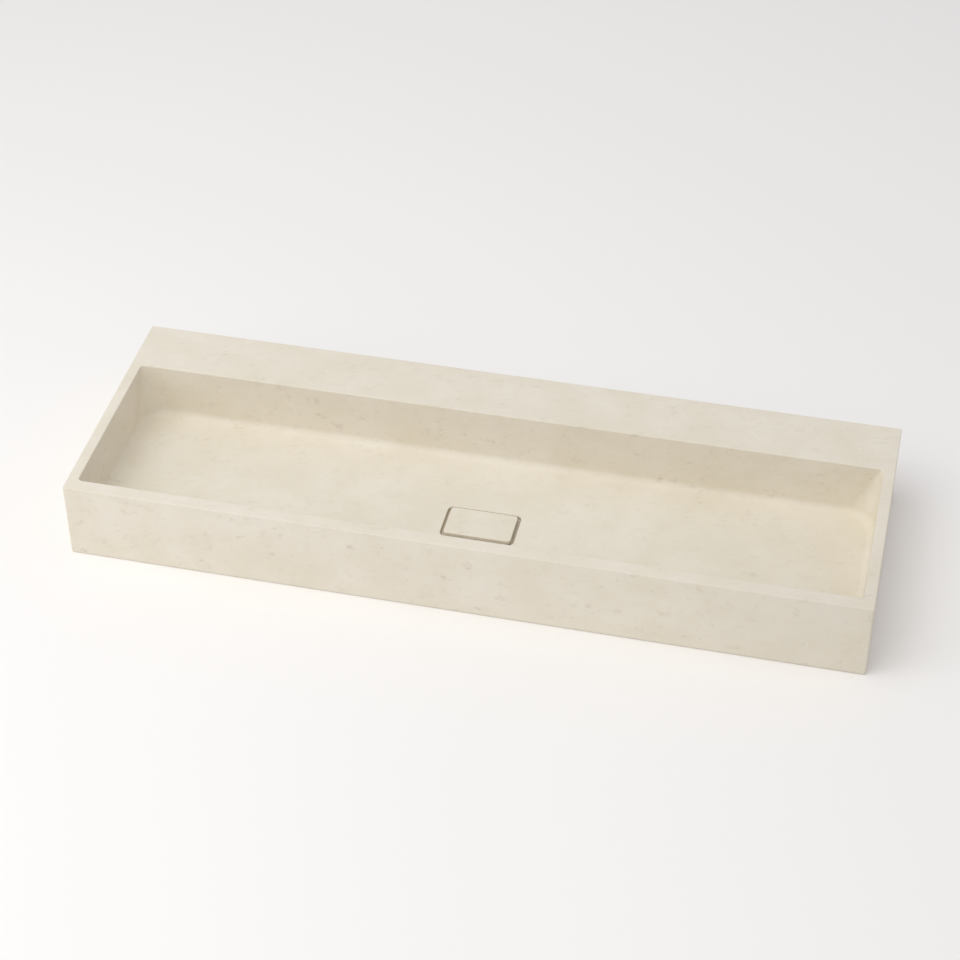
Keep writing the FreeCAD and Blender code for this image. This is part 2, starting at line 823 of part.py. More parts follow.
for item in doc.Objects:
    if "Invalid" in item.State or "Error" in item.State:
        raise ValueError(f"{item.Label} failed: {item.State}")
for piece in pieces:
    if piece.Shape.isNull() or not piece.Shape.isValid():
        raise ValueError(f"{piece.Label} has no valid shape")
for piece in pieces:
    piece.Shape.exportStep(f"parts/{piece.Label}.step")
    box = piece.Shape.BoundBox
    corners = [round(corner, 2) for corner in (box.XMin, box.XMax, box.YMin, box.YMax, box.ZMin, box.ZMax)]
    print(piece.Label, "solids", len(piece.Shape.Solids), "volume", round(piece.Shape.Volume), corners)
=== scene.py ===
import math

import bmesh
import bpy
from mathutils import Matrix, Vector


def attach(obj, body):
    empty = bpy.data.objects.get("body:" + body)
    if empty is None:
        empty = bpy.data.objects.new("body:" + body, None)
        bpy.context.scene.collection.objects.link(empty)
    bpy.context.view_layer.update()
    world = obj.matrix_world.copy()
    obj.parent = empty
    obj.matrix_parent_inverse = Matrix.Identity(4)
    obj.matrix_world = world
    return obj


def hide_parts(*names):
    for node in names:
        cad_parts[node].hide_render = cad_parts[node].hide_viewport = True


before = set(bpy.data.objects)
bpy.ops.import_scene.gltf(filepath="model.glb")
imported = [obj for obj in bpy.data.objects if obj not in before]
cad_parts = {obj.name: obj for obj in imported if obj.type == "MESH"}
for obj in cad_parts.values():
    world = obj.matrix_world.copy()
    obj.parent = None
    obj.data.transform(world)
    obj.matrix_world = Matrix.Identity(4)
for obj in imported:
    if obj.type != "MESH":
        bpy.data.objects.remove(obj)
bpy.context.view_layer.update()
print("frame loaded:", len(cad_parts), "nodes")

# Pieces are modelled in millimetres and shrunk to metres when they are finished. Looks are given in metres.
millimetre = 0.001
cornerSteps = 16  # steps round each corner of an outline
barely = 0.02  # the radius of a corner that is left sharp
apart = 500  # how far loops that lie in one plane are parted while they are bridged


class Wire:  # the output of a node, which adds a Math node for each sum or product
    def __init__(self, tree, socket):
        self.tree = tree
        self.socket = socket

    def maths(self, operation, first, second=None):
        node = self.tree.nodes.new("ShaderNodeMath")
        node.operation = operation
        feed(self.tree, node.inputs[0], first)
        if second is not None:
            feed(self.tree, node.inputs[1], second)
        return Wire(self.tree, node.outputs[0])

    def __add__(self, other):
        return self.maths("ADD", self, other)

    def __radd__(self, other):
        return self.maths("ADD", other, self)

    def __sub__(self, other):
        return self.maths("SUBTRACT", self, other)

    def __rsub__(self, other):
        return self.maths("SUBTRACT", other, self)

    def __mul__(self, other):
        return self.maths("MULTIPLY", self, other)

    def __rmul__(self, other):
        return self.maths("MULTIPLY", other, self)

    def __abs__(self):
        return self.maths("ABSOLUTE", self)


def feed(tree, slot, value):
    if isinstance(value, Wire):
        tree.links.new(value.socket, slot)
    else:
        slot.default_value = value


class Finish:  # one material while its nodes are put together
    def __init__(self, name):
        self.material = bpy.data.materials.new(name)
        self.material.use_nodes = True
        self.tree = self.material.node_tree
        self.tree.nodes.clear()

    def node(self, kind, settings=None, values=None, out=0):
        made = self.tree.nodes.new("ShaderNode" + kind)
        for key, value in (settings or {}).items():
            setattr(made, key, value)
        for key, value in (values or {}).items():
            feed(self.tree, made.inputs[key], value)
        return Wire(self.tree, made.outputs[out]) if len(made.outputs) else None

    def place(self, shift=(0, 0, 0)):  # where a point lies on the object, in metres
        return self.node("Mapping", values={"Vector": self.node("TexCoord", out="Object"), "Location": shift})

    def noise(self, place, size, detail=2, roughness=0.5, out=0):  # size in metres
        values = {"Vector": place, "Scale": 1 / size, "Detail": detail, "Roughness": roughness}
        return self.node("TexNoise", values=values, out=out)

    def step(self, value, low, high):  # 0 below low and 1 above high, eased between them
        return self.node("MapRange", {"interpolation_type": "SMOOTHSTEP"},
                         {"Value": value, "From Min": low, "From Max": high})

    def blend(self, share, first, second, how="MIX"):
        settings = {"data_type": "RGBA", "blend_type": how}
        return self.node("Mix", settings, {0: share, 6: first, 7: second}, out=2)

    def bump(self, height, depth):  # depth in metres
        return self.node("Bump", values={"Height": height, "Strength": 1, "Distance": depth})

    def close(self, **values):  # the shader's sockets by name, with _ for a space
        shader = self.node("BsdfPrincipled", values={key.replace("_", " "): value for key, value in values.items()})
        self.node("OutputMaterial", values={"Surface": shader})
        return self.material


def shade(red, green, blue):  # a colour as it is seen, 0 to 255, made linear
    def linear(part):
        part = part / 255
        return part / 12.92 if part <= 0.04045 else ((part + 0.055) / 1.055) ** 2.4
    return (linear(red), linear(green), linear(blue), 1)


limestoneLook = {
    "pale": (236, 229, 214.7),
    "warm": (230, 222, 203.7),
    "cloud": 0.07,
    "grain": 0.003,
    "beddingTurn": (0, 11, -13),  # degrees, the marks rise a little towards the back right
    "beddingStretch": (0.5, 1, 0.8),
    "onBed": 0.62,  # how strong the marks are on level faces, which lie along the bedding
    "patches": {"size": 0.03, "detail": 1, "from": 0.42, "to": 0.64},
    # marks and tints: each shows, by its share, where its noise passes from one value to the other
    "smudge": {"colour": (196, 186, 169), "size": 0.024, "detail": 3, "from": 0.52, "to": 0.75, "share": 0.1},
    "ochre": {"colour": (228, 211, 184), "size": 0.011, "detail": 2, "from": 0.45, "to": 0.75, "share": 0.14},
    "fleck": {"colour": (176, 163, 142), "size": 0.0095, "detail": 3, "from": 0.52, "to": 0.8, "share": 0.4},
    "dash": {"colour": (148, 132, 110), "size": 0.011, "detail": 3, "from": 0.69, "to": 0.8, "share": 0.3},
    "shell": {"colour": (244, 239, 229), "size": 0.007, "detail": 2, "from": 0.66, "to": 0.8, "share": 0.5},
    "lone": 0.15,  # how much of the flecks is left outside their patches
    # painted shade: one end of the block is painted a little darker, where the light falls off: fully so near the
    # place, and not at all beyond the second distance
    "endShade": {"colour": (206, 197, 179), "place": (0.6, -0.21, 0.04), "from": 0.05, "to": 0.36, "share": 0.2},
    "drift": {"size": 0.02, "reach": (0.005, 0.005, 0.005)},  # bends the bedding
    "tone": {"darkest": 0.993, "range": 0.014},
    "pits": {"size": 0.0014, "detail": 1, "from": 0.74, "to": 0.82},
    "depth": 0.00005,
}

recessShadeLook = {  # painted shade: the recess of the waste is painted darker, standing in for the shade in the gap round the cover
    "colour": (207, 196, 176),
    "share": 0.75,
    "middle": -0.049,
    "half": (0.0573, 0.0346),  # half its length and half its depth
    "level": 0.034,  # it is painted darker below this
    "soft": 0.0006,
    "smoother": 0.12,  # how much smoother it is
}

sawnLook = {
    "cuts": 90,
    "depth": 0.00015,
    "rough": 0.84,
    "dust": (0.25, 0.2),  # the least share of pale dust, and how much more of it lies between the cuts
}


def limestone(name, shift=(0, 0, 0), sawn=False, shadeRecess=False):
    look = limestoneLook
    stone = Finish(name)
    place = stone.place(shift)
    drift = stone.noise(place, look["drift"]["size"], detail=2, out="Color")
    bent = stone.node("VectorMath", {"operation": "MULTIPLY_ADD"}, {0: drift, 1: look["drift"]["reach"], 2: place})
    turn = [math.radians(angle) for angle in look["beddingTurn"]]
    turned = stone.node("Mapping", values={"Vector": bent, "Rotation": turn})
    bedded = stone.node("Mapping", values={"Vector": turned, "Scale": look["beddingStretch"]})

    def spots(where, layer):
        return stone.step(stone.noise(where, layer["size"], detail=layer["detail"], roughness=0.7),
                          layer["from"], layer["to"])

    cloud = stone.noise(place, look["cloud"], detail=3)
    grain = stone.noise(place, look["grain"], detail=3, roughness=0.7)
    colour = stone.blend(stone.step(cloud, 0.2, 0.8), shade(*look["warm"]), shade(*look["pale"]))
    level = abs(stone.node("SeparateXYZ", values={"Vector": stone.node("TexCoord", out="Normal")}, out="Z"))
    shown = 1 - (1 - look["onBed"]) * level
    smudge = spots(bent, look["smudge"])
    ochre = spots(place, look["ochre"])
    lone = look["lone"]
    fleck = spots(bedded, look["fleck"]) * (lone + (1 - lone) * spots(place, look["patches"])) * shown
    dash = spots(bedded, look["dash"]) * shown
    shell = spots(bent, look["shell"])
    # painted shade: the block darkens towards the place at its right front end, where the light falls off
    off = stone.node("VectorMath", {"operation": "DISTANCE"}, {0: bent, 1: look["endShade"]["place"]}, out="Value")
    endShade = 1 - stone.step(off, look["endShade"]["from"], look["endShade"]["to"])
    spreads = {"endShade": endShade, "smudge": smudge, "ochre": ochre, "fleck": fleck, "dash": dash, "shell": shell}
    for layer, spread in spreads.items():
        colour = stone.blend(spread * look[layer]["share"], colour, shade(*look[layer]["colour"]))
    tone = look["tone"]["darkest"] + look["tone"]["range"] * grain
    grey = stone.node("CombineColor", values={"Red": tone, "Green": tone, "Blue": tone})
    colour = stone.blend(1, colour, grey, how="MULTIPLY")

    pits = stone.step(stone.noise(place, look["pits"]["size"], detail=look["pits"]["detail"]),
                      look["pits"]["from"], look["pits"]["to"])
    height = grain * 0.4 - pits - fleck * 0.5 - dash
    normal = stone.bump(height, look["depth"])
    rough = 0.62 + 0.12 * grain + 0.1 * fleck
    # painted shade: the recess round the waste is painted darker, for the shade in its gap, and made a little
    # smoother
    if shadeRecess:
        x, y, z = (stone.node("SeparateXYZ", values={"Vector": place}, out=axis) for axis in "XYZ")
        halfLength, halfDepth = recessShadeLook["half"]
        soft, level = recessShadeLook["soft"], recessShadeLook["level"]
        recessShade = 1 - stone.step(abs(x), halfLength, halfLength + soft)
        recessShade = recessShade * (1 - stone.step(abs(y - recessShadeLook["middle"]), halfDepth, halfDepth + soft))
        recessShade = recessShade * (1 - stone.step(z, level - soft, level))
        colour = stone.blend(recessShade * recessShadeLook["share"], colour, shade(*recessShadeLook["colour"]))
        rough = rough - recessShadeLook["smoother"] * recessShade
    if sawn:
        values = {"Vector": bent, "Scale": sawnLook["cuts"], "Distortion": 3, "Detail": 3, "Detail Scale": 2}
        cuts = stone.node("TexWave", {"wave_type": "BANDS", "bands_direction": "X"}, values)
        least, more = sawnLook["dust"]
        normal = stone.bump(height * 0.5 + cuts, sawnLook["depth"])
        rough = sawnLook["rough"] + 0.1 * grain
        colour = stone.blend(least + more * cuts, colour, shade(*look["shell"]["colour"]))
    return stone.close(Base_Color=colour, Roughness=rough, Normal=normal, IOR=1.48, Specular_IOR_Level=0.35)


# Each finish turns from its clean colour to its worn one where the noise named by wear passes from low to high.
# Its roughness follows the worn patches where it is patchy, and otherwise the noise itself.
plainLooks = {
    "bracketPaint": {
        "clean": (168, 170, 172), "worn": (190, 191, 190), "share": 0.35,
        "wear": 0.03, "detail": 4, "low": 0.45, "high": 0.75,
        "rough": 0.42, "rougher": 0.16, "patchy": True, "relief": 0.0016, "depth": 0.00005, "metal": 0, "coat": 0.15,
    },
    "weldSteel": {
        "clean": (150, 151, 152), "worn": (182, 182, 180), "share": 1,
        "wear": 0.006, "detail": 3, "low": 0.35, "high": 0.7,
        "rough": 0.4, "rougher": 0.2, "patchy": False, "relief": 0.0012, "depth": 0.0001, "metal": 0, "coat": 0,
    },
    "outletChrome": {
        "clean": (222, 223, 224), "worn": (196, 197, 196), "share": 0.5,
        "wear": 0.01, "detail": 4, "low": 0.45, "high": 0.8,
        "rough": 0.1, "rougher": 0.16, "patchy": True, "relief": 0.004, "depth": 0.00002, "metal": 1, "coat": 0,
    },
    "zincPlate": {
        "clean": (190, 192, 194), "worn": (208, 205, 190), "share": 1,
        "wear": 0.003, "detail": 4, "low": 0.35, "high": 0.7,
        "rough": 0.3, "rougher": 0.2, "patchy": False, "relief": 0.0008, "depth": 0.00003, "metal": 0.9, "coat": 0,
    },
    "insertBrass": {
        "clean": (214, 178, 104), "worn": (184, 146, 82), "share": 1,
        "wear": 0.004, "detail": 3, "low": 0.3, "high": 0.7,
        "rough": 0.28, "rougher": 0.2, "patchy": False, "relief": 0.0007, "depth": 0.00002, "metal": 1, "coat": 0,
    },
    "blackRubber": {
        "clean": (34, 34, 35), "worn": (70, 69, 67), "share": 0.4,
        "wear": 0.008, "detail": 4, "low": 0.5, "high": 0.8,
        "rough": 0.72, "rougher": 0.15, "patchy": True, "relief": 0.0006, "depth": 0.00005, "metal": 0, "coat": 0,
    },
    "silicone": {
        "clean": (206, 206, 202), "worn": (220, 219, 214), "share": 1,
        "wear": 0.004, "detail": 3, "low": 0.3, "high": 0.7,
        "rough": 0.45, "rougher": 0.12, "patchy": False, "relief": 0.0008, "depth": 0.00003, "metal": 0, "coat": 0,
    },
}


def plainFinish(name):
    look = plainLooks[name]
    made = Finish(name)
    place = made.place()
    wear = made.noise(place, look["wear"], detail=look["detail"])
    patches = made.step(wear, look["low"], look["high"])
    colour = made.blend(patches * look["share"], shade(*look["clean"]), shade(*look["worn"]))
    rough = look["rough"] + look["rougher"] * (patches if look["patchy"] else wear)
    relief = made.bump(made.noise(place, look["relief"]), look["depth"])
    return made.close(Base_Color=colour, Roughness=rough, Normal=relief, Metallic=look["metal"],
                      Coat_Weight=look["coat"])


strainerLook = {
    "clean": (205, 205, 202),
    "stained": (184, 181, 174),
    "stain": {"size": 0.012, "detail": 3, "from": 0.5, "to": 0.8, "share": 0.4},
    "centre": (0, -0.049),  # the waste's axis, round which the steel was turned
    "rings": 3200,  # per metre
    "rough": 0.24,
    "depth": 0.00002,
}


def brushedSteel():  # the brushing runs in rings
    look = strainerLook
    steel = Finish("stainlessSteel")
    place = steel.place((-look["centre"][0], -look["centre"][1], 0))
    flat = steel.node("VectorMath", {"operation": "MULTIPLY"}, {0: place, 1: (1, 1, 0)})
    radius = steel.node("VectorMath", {"operation": "LENGTH"}, {0: flat}, out="Value")
    rings = steel.node("TexNoise", {"noise_dimensions": "1D"}, {"W": radius, "Scale": look["rings"], "Detail": 3})
    patches = look["stain"]
    stain = steel.step(steel.noise(place, patches["size"], detail=patches["detail"]), patches["from"], patches["to"])
    colour = steel.blend(stain * patches["share"], shade(*look["clean"]), shade(*look["stained"]))
    return steel.close(Base_Color=colour, Metallic=1, Roughness=look["rough"] + 0.14 * rings + 0.1 * stain,
                       Normal=steel.bump(rings, look["depth"]))


def edgesOf(verts):  # each edge once, and in the same order every time the script runs
    return list(dict.fromkeys(edge for vert in verts for edge in vert.link_edges))


# Sides are given as left, right, front and back.
def outline(bm, sides, corner, level, inset=0):  # the edges of a rounded rectangle
    left, right, front, back = sides
    middle = Matrix.Translation(((left + right) / 2, (front + back) / 2, level))
    spread = Matrix.Diagonal(((right - left) / 2 - inset, (back - front) / 2 - inset, 1, 1))
    before = set(bm.edges)
    quad = bmesh.ops.create_grid(bm, x_segments=1, y_segments=1, size=1, matrix=middle @ spread)
    bmesh.ops.bevel(bm, geom=quad["verts"], offset=corner, offset_type="OFFSET", segments=cornerSteps, profile=0.5,
                    affect="VERTICES", material=-1, clamp_overlap=False)
    edges = [edge for edge in bm.edges if edge not in before]
    faces = dict.fromkeys(face for edge in edges for face in edge.link_faces)
    bmesh.ops.delete(bm, geom=list(faces), context="FACES_ONLY")
    return edges


def circleAt(bm, centre, radius, level, steps=4 * (cornerSteps + 1)):
    place = Matrix.Translation((*centre, level)) @ Matrix.Rotation(math.pi / steps, 4, "Z")
    return edgesOf(bmesh.ops.create_circle(bm, cap_ends=False, segments=steps, radius=radius, matrix=place)["verts"])


def skin(bm, loops, lift=0):  # level loops that lie in one plane are bridged while the next one is lifted off
    for loop, following in zip(loops, loops[1:]):
        verts = list(dict.fromkeys(vert for edge in following for vert in edge.verts))
        bmesh.ops.translate(bm, verts=verts, vec=(0, 0, lift))
        bmesh.ops.bridge_loops(bm, edges=loop + following)
        bmesh.ops.translate(bm, verts=verts, vec=(0, 0, -lift))


def cap(bm, loop):
    bmesh.ops.contextual_create(bm, geom=loop)


def quarterTurn(steps):  # how far a rounded edge has come in and how far it has still to go, as shares of its radius
    angles = [step / steps * math.pi / 2 for step in range(steps + 1)]
    return [(1 - math.cos(angle), 1 - math.sin(angle)) for angle in angles]


def closed(bm, name):
    bmesh.ops.remove_doubles(bm, verts=bm.verts, dist=0.0005)
    bmesh.ops.recalc_face_normals(bm, faces=bm.faces)
    mesh = bpy.data.meshes.new(name)
    bm.to_mesh(mesh)
    bm.free()
    piece = bpy.data.objects.new(name, mesh)
    bpy.context.scene.collection.objects.link(piece)
    return piece


def finished(piece, body, materials, replaces=(), sharpAngle=35):
    piece.data.transform(Matrix.Scale(millimetre, 4))
    for material in materials:
        piece.data.materials.append(material)
    piece.data.shade_smooth()
    piece.data.set_sharp_from_angle(angle=math.radians(sharpAngle))
    weighted = piece.modifiers.new("flat faces stay flat", "WEIGHTED_NORMAL")
    weighted.keep_sharp = True
    weighted.weight = 100
    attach(piece, body)
    for node in replaces:
        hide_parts(node)
    print("made", piece.name, "with", len(piece.data.polygons), "faces")
    return piece


basin = {
    "block": (-600, 600, -206, 206),
    "height": 128,
    "edge": 1.6,
    "outerEdge": 3,  # uprights and lower edges
    "bowl": (-583, 583, -184, 103),
    "rimCorner": 6,
    "foot": 37.2,
    "footCorner": 48,
    "footRound": 12,
    "draft": 1.5,  # how far the walls lean in from the rim to the foot
    "border": 3,
    "landing": (-63, 63, -89.3, -8.7),
    "landingCorner": 15,
    "recess": (-57, 57, -83.3, -14.7),
    "recessCorner": 9,
    "recessTop": 34.2,
    "recessFloor": 28,
    "recessEdge": 0.8,
    "drain": (0, -49),
    "seatRadius": 30.955,
    "seat": 24.7,
    "holeRadius": 22.955,
    "wallSteps": 8,
}

underside = {
    "bays": [(-580, -182), (-158, 158), (182, 580)],
    "bayFront": -186,
    "bayBack": 184,
    "bayTop": 20,
    "corner": 10,
    "channelFront": 122,
    "channelTop": 104,
    "bossRadius": 49.955,
    "bossLevel": 17,
    "notchX": 350,
    "notchHalf": 32,
    "notchY": (182, 208),
    "notchTop": 102,
    "insertY": (-54, 56),
    "insertRadius": 6.15,
    "insertTop": 30.15,
    "below": -10,
    "outerWall": 3,  # faces nearer the outside than this are honed, not sawn
}


def stoneBody():
    size = basin
    edge = size["edge"]
    height = size["height"]
    foot = size["foot"]
    bm = bmesh.new()

    def wallLoop(level, inset=0):  # the walls lean in and their corners open from the rim down to the foot
        share = (height - level) / (height - foot)
        corner = size["rimCorner"] + (size["footCorner"] - size["rimCorner"]) * share
        return outline(bm, size["bowl"], corner - inset, level, size["draft"] * share + inset)

    loops = []
    outer = size["outerEdge"]
    for near, far in quarterTurn(5):  # outer edge underneath
        loops.append(outline(bm, size["block"], max(outer - outer * far, barely), outer * near, outer * far))
    for near, far in quarterTurn(4):  # outer edge on top
        loops.append(outline(bm, size["block"], outer - edge * near, height - edge * far, edge * near))
    for near, far in quarterTurn(4):  # rim of the bowl
        loops.append(wallLoop(height - edge * near, -edge * far))
    lowest = foot + size["footRound"]
    steps = size["wallSteps"]
    for step in range(1, steps):  # walls
        loops.append(wallLoop(height - edge + (lowest - height + edge) * step / steps))
    for near, far in quarterTurn(8):  # round foot of the walls
        loops.append(wallLoop(foot + size["footRound"] * far, size["footRound"] * near))
    loops.append(wallLoop(foot, size["footRound"] + size["border"]))
    loops.append(outline(bm, size["landing"], size["landingCorner"], size["recessTop"]))
    for near, far in quarterTurn(3):  # edge of the recess
        reach = size["recessEdge"] * far
        level = size["recessTop"] - size["recessEdge"] * near
        loops.append(outline(bm, size["recess"], size["recessCorner"] + reach, level, -reach))
    loops.append(outline(bm, size["recess"], size["recessCorner"], size["recessFloor"]))
    loops.append(circleAt(bm, size["drain"], size["seatRadius"], size["recessFloor"]))
    loops.append(circleAt(bm, size["drain"], size["seatRadius"], size["seat"]))
    loops.append(circleAt(bm, size["drain"], size["holeRadius"], size["seat"]))
    loops.append(circleAt(bm, size["drain"], size["holeRadius"], 0))
    skin(bm, loops + loops[:1], apart)
    return closed(bm, "basinStone")


def tool(name, shapes):  # closed shapes to cut with; each is a list of loop makers
    bm = bmesh.new()
    for shape in shapes:
        loops = [make(bm) for make in shape]
        skin(bm, loops, apart)
        cap(bm, loops[0])
        cap(bm, loops[-1])
    return closed(bm, name)


def plate(sides, corner, level):
    return lambda bm: outline(bm, sides, corner, level)


def disc(centre, radius, level):
    return lambda bm: circleAt(bm, centre, radius, level)


def undersideTools():
    size = underside
    below = size["below"]
    bays, channels = [], []
    for left, right in size["bays"]:
        sides = (left, right, size["bayFront"], size["bayBack"])
        bay = [plate(sides, size["corner"], below), plate(sides, size["corner"], size["bayTop"])]
        if left < 0 < right:  # the boss round the waste hole is left standing
            bay.append(disc(basin["drain"], size["bossRadius"], size["bayTop"]))
            bay.append(disc(basin["drain"], size["bossRadius"], size["bossLevel"]))
        bays.append(bay)
        sides = (left, right, size["channelFront"], size["bayBack"])
        channels.append([plate(sides, size["corner"], below), plate(sides, size["corner"], size["channelTop"])])
    notches, holes = [], []
    for x in (-size["notchX"], size["notchX"]):
        sides = (x - size["notchHalf"], x + size["notchHalf"], *size["notchY"])
        notches.append([plate(sides, barely, below), plate(sides, barely, size["notchTop"])])
        for y in size["insertY"]:
            radius = size["insertRadius"]
            holes.append([disc((x, y), radius, below), disc((x, y), radius, size["insertTop"])])
    return [tool("bays", bays), tool("channels", channels), tool("notches", notches), tool("insertHoles", holes)]


def cutAway(piece, tools):
    for each in tools:
        cut = piece.modifiers.new(each.name, "BOOLEAN")
        cut.operation = "DIFFERENCE"
        cut.solver = "EXACT"
        cut.object = each
    bpy.context.view_layer.update()
    result = piece.evaluated_get(bpy.context.evaluated_depsgraph_get())
    piece.modifiers.clear()
    piece.data = bpy.data.meshes.new_from_object(result)
    for each in tools:
        bpy.data.objects.remove(each)


def sortFaces(piece):  # the hollow is left as it was sawn and milled
    size = underside
    side, back = basin["block"][1] - size["outerWall"], basin["block"][3] - size["outerWall"]
    for face in piece.data.polygons:
        x, y, z = face.center
        inside = abs(x) < side and size["bayFront"] - 1 < y < back
        hollow = inside and z < size["bayTop"] + 0.5
        channel = inside and y > size["channelFront"] - 1 and z < size["channelTop"] + 0.5
        offAxis = (Vector((x, y)) - Vector(basin["drain"])).length
        if (hollow or channel) and offAxis >= basin["holeRadius"] + 1:
            face.material_index = 1


stone = stoneBody()
cutAway(stone, undersideTools())
sortFaces(stone)
honedStone = limestone("limestone", shadeRecess=True)
sawnStone = limestone("sawnLimestone", sawn=True)
finished(stone, "basin", [honedStone, sawnStone], ["basin_block"])


cover = {
    "sides": (-51.5, 51.5, -78.7, -19.3),
    "corner": 5,
    "bottom": 30.5,
    "top": 37.5,
    "lowerEdge": 0.4,
    "upperEdge": 0.8,
    "cutFrom": (0.47, 0.65, 0.05),  # where in the stone's pattern it was cut, in metres
}


def coverPlate():
    size = cover
    bm = bmesh.new()
    loops = []
    for near, far in quarterTurn(3):
        inset = size["lowerEdge"] * far
        level = size["bottom"] + size["lowerEdge"] * near
        loops.append(outline(bm, size["sides"], size["corner"] - inset, level, inset))
    for near, far in quarterTurn(5):
        inset = size["upperEdge"] * near
        level = size["top"] - size["upperEdge"] * far
        loops.append(outline(bm, size["sides"], size["corner"] - inset, level, inset))
    skin(bm, loops)
    cap(bm, loops[0])
    cap(bm, loops[-1])
    return closed(bm, "coverStone")


coverStone = coverPlate()
finished(coverStone, "cover", [limestone("coverLimestone", cover["cutFrom"])], ["waste_cover"])


outlet = {  # clamped under the stone
    "axis": (0, -49),
    "bore": 17.455,
    "core": 19.5,
    "collar": 29.955,
    "neck": 20.955,
    "tailEnd": 1,
    "collarBottom": 11,
    "collarTop": 15,
    "top": 21,
    "edge": 0.35,
    "threadCrest": 20.9,
    "threadFlat": 0.22,  # half the width of the crest
    "threadFoot": 0.46,  # half the width of the foot, as a share of the pitch
    "threadSunk": 0.25,  # how deep the foot is set in the tail
    "threadPitch": 2.309,
    "threadStart": 2.6,
    "threadTurns": 3.2,
    "threadSteps": 64,  # in each turn
    "hubRadius": 6,
    "hubBore": 3,
    "hubBottom": 13,
    "spokes": 3,
    "spokeWidth": 3,
    "spokeBottom": 16,
    "spokeEdge": 0.4,
}


def lathe(bm, profile, axis, steps=96):  # a closed profile of radius and level, turned once round the axis
    verts = [bm.verts.new((axis[0] + radius, axis[1], level)) for radius, level in profile]
    edges = [bm.edges.new(pair) for pair in zip(verts, verts[1:] + verts[:1])]
    bmesh.ops.spin(bm, geom=verts + edges, cent=(*axis, 0), axis=(0, 0, 1), angle=math.tau, steps=steps,
                   use_merge=True)


def softenEdges(bm, width, angle=50, steps=2):
    bmesh.ops.recalc_face_normals(bm, faces=bm.faces)
    sharp = [edge for edge in bm.edges if edge.is_manifold and edge.calc_face_angle() > math.radians(angle)]
    bmesh.ops.bevel(bm, geom=sharp, offset=width, offset_type="OFFSET", segments=steps, profile=0.5,
                    affect="EDGES", material=-1, clamp_overlap=True)


def outletPiece():
    size = outlet
    bm = bmesh.new()
    lathe(bm, [
        (size["bore"], size["tailEnd"]),
        (size["core"], size["tailEnd"]),
        (size["core"], size["collarBottom"]),
        (size["collar"], size["collarBottom"]),
        (size["collar"], size["collarTop"]),
        (size["neck"], size["collarTop"]),
        (size["neck"], size["top"]),
        (size["bore"], size["top"]),
    ], size["axis"])
    lathe(bm, [
        (size["hubBore"], size["hubBottom"]),
        (size["hubRadius"], size["hubBottom"]),
        (size["hubRadius"], size["top"]),
        (size["hubBore"], size["top"]),
    ], size["axis"], steps=48)
    softenEdges(bm, size["edge"])
    for turn in range(size["spokes"]):
        reach = (size["bore"] + size["core"]) / 2
        inner = (size["hubBore"] + size["hubRadius"]) / 2
        length = reach - inner
        tall = size["top"] - size["spokeBottom"]
        shape = Matrix.Diagonal((size["spokeWidth"], length, tall, 1))
        place = Matrix.Translation((0, (reach + inner) / 2, size["top"] - tall / 2))
        about = Matrix.Translation((*size["axis"], 0)) @ Matrix.Rotation(math.tau * turn / size["spokes"], 4, "Z")
        spoke = bmesh.ops.create_cube(bm, size=1, matrix=about @ place @ shape)
        bmesh.ops.bevel(bm, geom=edgesOf(spoke["verts"]), offset=size["spokeEdge"], offset_type="OFFSET", segments=2,
                        profile=0.5, affect="EDGES", material=-1, clamp_overlap=True)
    addThread(bm)
    return closed(bm, "outletBrass")


def addThread(bm):  # a ridge wound round the tail
    size = outlet
    steps = size["threadSteps"]
    x, y = size["axis"]
    root = size["core"] - size["threadSunk"]
    half = size["threadPitch"] * size["threadFoot"]
    crest, flat = size["threadCrest"], size["threadFlat"]
    corners = [(root, -half), (crest, -flat), (crest, flat), (root, half)]
    verts = [bm.verts.new((x + radius, y, size["threadStart"] + level)) for radius, level in corners]
    face = bm.faces.new(verts)
    turned = round(steps * size["threadTurns"])
    bmesh.ops.spin(bm, geom=[face], cent=(x, y, 0), axis=(0, 0, 1), dvec=(0, 0, size["threadPitch"] / steps),
                   angle=math.tau * turned / steps, steps=turned, use_merge=False)


outletBrass = outletPiece()
finished(outletBrass, "basin", [plainFinish("outletChrome")], ["outlet_body"])


bolts = {
    "places": [(-350, 56), (-350, -54), (350, 56), (350, -54)],
    "acrossFlats": 13,
    "headBottom": 3.1,
    "headTop": 8.4,
    "chamfer": 0.7,
    "shank": 3.9,
    "end": 29.4,
}


def boltSet():
    size = bolts
    bm = bmesh.new()
    radius = size["acrossFlats"] / math.sqrt(3)
    for x, y in size["places"]:
        place = Matrix.Translation((x, y, size["headTop"])) @ Matrix.Rotation(math.pi / 6, 4, "Z")
        made = bmesh.ops.create_circle(bm, cap_ends=True, segments=6, radius=radius, matrix=place)
        face = made["verts"][0].link_faces[0]
        grown = bmesh.ops.extrude_face_region(bm, geom=[face])
        lower = [item for item in grown["geom"] if isinstance(item, bmesh.types.BMVert)]
        bmesh.ops.translate(bm, verts=lower, vec=(0, 0, size["headBottom"] - size["headTop"]))
        tip = [item for item in grown["geom"] if isinstance(item, bmesh.types.BMFace)]
        rim = list(dict.fromkeys(edge for face in tip for edge in face.edges))
        bmesh.ops.bevel(bm, geom=rim, offset=size["chamfer"], offset_type="OFFSET", segments=2, profile=0.5,
                        affect="EDGES", material=-1, clamp_overlap=True)
        middle = (size["headTop"] + size["end"]) / 2
        bmesh.ops.create_cone(bm, cap_ends=True, segments=32, radius1=size["shank"], radius2=size["shank"],
                              depth=size["end"] - size["headTop"], matrix=Matrix.Translation((x, y, middle)))
    return closed(bm, "boltHeads")


boltHeads = boltSet()
finished(boltHeads, "basin", [plainFinish("zincPlate")], ["bracket_bolts"])

